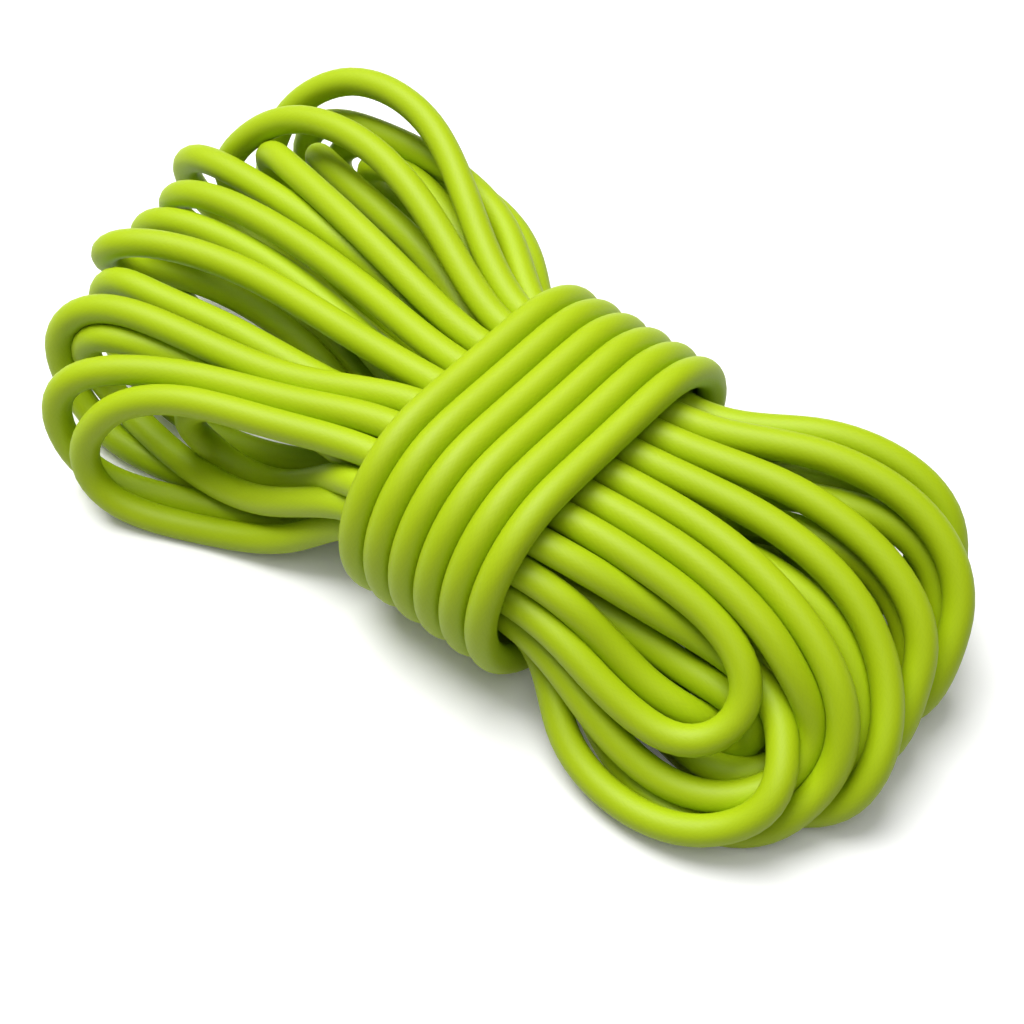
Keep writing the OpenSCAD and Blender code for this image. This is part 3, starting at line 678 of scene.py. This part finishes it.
def rope_tube(name, points, along, radius, sides):
    """A round tube along the points, flat where it lies on the ground, with a UV map along it."""
    count = len(points)
    first, second = carried_frames(points)
    turn = np.linspace(0, 2 * math.pi, sides, endpoint=False)[None, :, None]
    rings = points[:, None] + radius * (first[:, None] * np.cos(turn) + second[:, None] * np.sin(turn))
    rings[..., 2] = np.maximum(rings[..., 2], 0)
    faces = [
        (i * sides + k, i * sides + (k + 1) % sides,
         (i + 1) * sides + (k + 1) % sides, (i + 1) * sides + k)
        for i in range(count - 1) for k in range(sides)
    ]
    caps = [tuple(range(sides))[::-1], tuple(range((count - 1) * sides, count * sides))]
    mesh = bpy.data.meshes.new(name)
    mesh.from_pydata(rings.reshape(-1, 3).tolist(), [], faces + caps)

    # each face has two corners on one ring and two on the next
    uvs = np.zeros((count - 1, sides, 4, 2))
    uvs[..., 0] = (np.arange(sides)[:, None] + (0, 1, 1, 0)) / sides
    uvs[..., 1] = np.stack([along[:-1], along[:-1], along[1:], along[1:]], axis=1)[:, None]
    cap_uvs = np.zeros(2 * sides * len(caps))
    layer = mesh.uv_layers.new(name="rope_way")
    layer.data.foreach_set("uv", np.concatenate([uvs.ravel(), cap_uvs]))

    mesh.polygons.foreach_set("use_smooth", [True] * len(faces) + [False] * len(caps))
    mesh.update()
    piece = bpy.data.objects.new(name, mesh)
    bpy.context.collection.objects.link(piece)
    return piece


rope = rope_tube("rope", ROUTE, ROUTE_ALONG, SHOWN_RADIUS, ROPE_SIDES)
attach(rope, "root")
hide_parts("hank_loops", "waist_wraps")


# ---- materials ----

class Wiring:
    """Places shader nodes and joins them, in a material, in the world or in a group."""

    def __init__(self, tree):
        self.tree = tree

    def node(self, kind, settings=None, **values):
        made = self.tree.nodes.new(kind)
        for key, value in (settings or {}).items():
            setattr(made, key, value)
        for key, value in values.items():
            self.put(made.inputs[key.replace("_", " ")], value)
        return made

    def put(self, socket, value):
        if isinstance(value, bpy.types.NodeSocket):
            self.tree.links.new(value, socket)
        else:
            socket.default_value = value

    def math(self, operation, a, b=0.0):
        made = self.tree.nodes.new("ShaderNodeMath")
        made.operation = operation
        self.put(made.inputs[0], a)
        self.put(made.inputs[1], b)
        return made.outputs[0]

    def blend(self, share, a, b):
        made = self.tree.nodes.new("ShaderNodeMix")
        made.data_type = "RGBA"
        self.put(made.inputs[0], share)
        self.put(made.inputs[6], a)
        self.put(made.inputs[7], b)
        return made.outputs[2]

    def rays(self, *kinds):
        """One for a ray of any of these kinds, and nought for all others."""
        path = self.node("ShaderNodeLightPath").outputs
        found = path[kinds[0]]
        for kind in kinds[1:]:
            found = self.math("MAXIMUM", found, path[kind])
        return found


def srgb(red, green, blue):
    def plain(c):
        c /= 255
        return c / 12.92 if c <= 0.04045 else ((c + 0.055) / 1.055) ** 2.4
    return (plain(red), plain(green), plain(blue), 1)


def new_material(name):
    material = bpy.data.materials.new(name)
    material.use_nodes = True
    return material, Wiring(material.node_tree), material.node_tree.nodes["Principled BSDF"]


def braid_group():
    """The two-over-two braid of a sheath: its relief, and a mask of the grooves between its yarns, where
    shade is painted.
    """
    tree = bpy.data.node_groups.new("sheath_braid", "ShaderNodeTree")
    for name, value in (("Yarns Around", 24.0), ("Stitch Length", 0.0031)):
        socket = tree.interface.new_socket(name, in_out="INPUT", socket_type="NodeSocketFloat")
        socket.default_value = value
    for name in ("Relief", "Furrow Shade"):
        tree.interface.new_socket(name, in_out="OUTPUT", socket_type="NodeSocketFloat")
    w = Wiring(tree)
    given = w.node("NodeGroupInput")
    out = w.node("NodeGroupOutput")
    way = w.node("ShaderNodeSeparateXYZ", Vector=w.node("ShaderNodeTexCoord").outputs["UV"])
    around = w.math("MULTIPLY", way.outputs["X"], given.outputs["Yarns Around"])
    along = w.math("DIVIDE", way.outputs["Y"], given.outputs["Stitch Length"])
    left_hand = w.math("ADD", around, along)
    right_hand = w.math("SUBTRACT", around, along)
    steps = w.math("ADD", w.math("FLOOR", left_hand), w.math("FLOOR", right_hand))
    over = w.math("LESS_THAN", w.math("FLOORED_MODULO", steps, 4.0), 1.5)

    def crown(yarns):
        inside = w.math("SUBTRACT", w.math("FRACT", yarns), 0.5)
        from_middle = w.math("ABSOLUTE", w.math("MULTIPLY", inside, 2.0))
        return w.math("SUBTRACT", 1.0, w.math("POWER", from_middle, 2.0))

    crowns = w.math("ADD", w.math("MULTIPLY", crown(left_hand), over),
                    w.math("MULTIPLY", crown(right_hand), w.math("SUBTRACT", 1.0, over)))
    filled = w.math("MINIMUM", w.math("MULTIPLY", crowns, 2.5), 1.0)
    w.put(out.inputs["Relief"], crowns)
    w.put(out.inputs["Furrow Shade"], w.math("SUBTRACT", 1.0, filled))
    return tree


# the third lime is painted shade, laid into the braid's grooves where the yarns shade each other
LIME, PALER_LIME, FURROW_SHADE_LIME = srgb(166, 193, 3), srgb(176, 200, 8), srgb(120, 160, 10)
FURROW_SHADE_SHARE = 0.16
SHEATH_ROUGHNESS, FUZZ_ROUGHNESS = 0.46, 0.16
SHEATH_SHINE = 0.38
BRAID_HEIGHT, FUZZ_HEIGHT = 0.7, 0.3


def sheath_cloth():
    """Lime sheath: a faint braid along the rope's UV map, with painted shade in its grooves, slow changes
    of colour and a fine fuzz.
    """
    material, w, shader = new_material("lime_sheath_cloth")
    braid = w.node("ShaderNodeGroup", {"node_tree": braid_group()})
    place = w.node("ShaderNodeTexCoord").outputs["Object"]
    patches = w.node("ShaderNodeTexNoise", Vector=place, Scale=28.0, Detail=2.0)
    fuzz = w.node("ShaderNodeTexNoise", Vector=place, Scale=1900.0, Detail=3.0)
    cloth = w.blend(patches.outputs["Fac"], LIME, PALER_LIME)
    # painted shade: the sheath's colour is darkened in the braid's grooves
    furrow_shade = w.math("MULTIPLY", braid.outputs["Furrow Shade"], FURROW_SHADE_SHARE)
    w.put(shader.inputs["Base Color"], w.blend(furrow_shade, cloth, FURROW_SHADE_LIME))
    rough = w.math("MULTIPLY", fuzz.outputs["Fac"], FUZZ_ROUGHNESS)
    w.put(shader.inputs["Roughness"], w.math("ADD", rough, SHEATH_ROUGHNESS))
    height = w.math("ADD", w.math("MULTIPLY", braid.outputs["Relief"], BRAID_HEIGHT),
                    w.math("MULTIPLY", fuzz.outputs["Fac"], FUZZ_HEIGHT))
    bump = w.node("ShaderNodeBump", Strength=0.12, Distance=0.0002, Height=height)
    w.put(shader.inputs["Normal"], bump.outputs["Normal"])
    shader.inputs["Specular IOR Level"].default_value = SHEATH_SHINE
    return material


def grainy(name, colour, other, roughness, strength, scale):
    """A plain finish with a grain in its colour, roughness and relief."""
    material, w, shader = new_material(name)
    place = w.node("ShaderNodeTexCoord").outputs["Object"]
    grain = w.node("ShaderNodeTexNoise", Vector=place, Scale=scale, Detail=3.0)
    w.put(shader.inputs["Base Color"], w.blend(grain.outputs["Fac"], colour, other))
    rough = w.math("MULTIPLY", grain.outputs["Fac"], 0.2)
    w.put(shader.inputs["Roughness"], w.math("ADD", rough, roughness))
    bump = w.node("ShaderNodeBump", Strength=strength, Distance=0.0003, Height=grain.outputs["Fac"])
    w.put(shader.inputs["Normal"], bump.outputs["Normal"])
    return material


def dress(piece, material):
    piece.data.materials.clear()
    piece.data.materials.append(material)


def redress(node, material):
    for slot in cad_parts[node].material_slots:
        slot.material = material


LIME_SHEATH = sheath_cloth()
CORE_YARN = grainy("white_core_yarn", srgb(236, 236, 228), srgb(214, 214, 204), 0.6, 0.5, 2500.0)
MOLTEN_TIP = grainy("molten_rope_tip", srgb(120, 148, 30), srgb(84, 104, 20), 0.25, 0.4, 900.0)
END_SLEEVE = grainy("shrunk_end_sleeve", srgb(208, 212, 200), srgb(190, 196, 184), 0.3, 0.1, 400.0)

dress(rope, LIME_SHEATH)
for end in ("inner", "outer"):
    redress(end + "_end_sheath", LIME_SHEATH)
    redress(end + "_end_core", CORE_YARN)
    redress(end + "_end_tip", MOLTEN_TIP)
    redress(end + "_end_sleeve", END_SLEEVE)


# ---- floor, lights and background ----

FLOOR_WIDE = 8
FLOOR_LIT, FLOOR_SHOWN = (0.5, 0.5, 0.5, 1), (1, 1, 1, 1)
FLOOR_GLOW = 0.06
# between these distances from the hank, the floor that is looked at turns fully white
WHITE_FROM, WHITE_AT = 0.4, 1.4
ROOM_LIGHT = 0.06
LAMP_TARGET = Vector((0, 0, 0.03))


def pale_floor():
    """White where it is looked at, also far from the lamps, and grey in the light that it returns."""
    bpy.ops.mesh.primitive_plane_add(size=FLOOR_WIDE, location=(0, 0, 0))
    floor = bpy.context.object
    floor.name = "floor"
    material, w, shader = new_material("pale_floor")
    shader.inputs["Roughness"].default_value = 0.9
    shader.inputs["Specular IOR Level"].default_value = 0.1
    shader.inputs["Emission Color"].default_value = (1, 1, 1, 1)
    shown = w.rays("Is Glossy Ray", "Is Transmission Ray", "Is Camera Ray")
    w.put(shader.inputs["Base Color"], w.blend(shown, FLOOR_LIT, FLOOR_SHOWN))
    place = w.node("ShaderNodeTexCoord").outputs["Object"]
    away = w.node("ShaderNodeVectorMath", {"operation": "LENGTH"}, Vector=place)
    far = w.node("ShaderNodeMapRange", Value=away.outputs["Value"], From_Min=WHITE_FROM, From_Max=WHITE_AT)
    glow = w.math("ADD", far.outputs["Result"], FLOOR_GLOW)
    w.put(shader.inputs["Emission Strength"], w.math("MULTIPLY", shown, glow))
    dress(floor, material)


def white_room():
    """A world that is white where it is looked at and gives only a little light."""
    world = bpy.data.worlds.new("white_room")
    bpy.context.scene.world = world
    world.use_nodes = True
    w = Wiring(world.node_tree)
    back = world.node_tree.nodes["Background"]
    back.inputs["Color"].default_value = (1, 1, 1, 1)
    shown = w.rays("Is Camera Ray", "Is Transmission Ray")
    w.put(back.inputs["Strength"], w.math("ADD", w.math("MULTIPLY", shown, 1 - ROOM_LIGHT), ROOM_LIGHT))


def soft_lamp(name, place, size, power):
    data = bpy.data.lights.new(name, "AREA")
    data.shape = "DISK"
    data.size = size
    data.energy = power
    lamp = bpy.data.objects.new(name, data)
    bpy.context.collection.objects.link(lamp)
    lamp.location = place
    lamp.rotation_mode = "QUATERNION"
    lamp.rotation_quaternion = (LAMP_TARGET - Vector(place)).to_track_quat("-Z", "Y")


pale_floor()
white_room()
soft_lamp("window_light", (-1.05, 0.2, 2.8), 2.3, 118)
soft_lamp("ceiling_light", (0.6, -0.6, 2.8), 2.0, 24)

bpy.context.scene.view_settings.view_transform = "Standard"
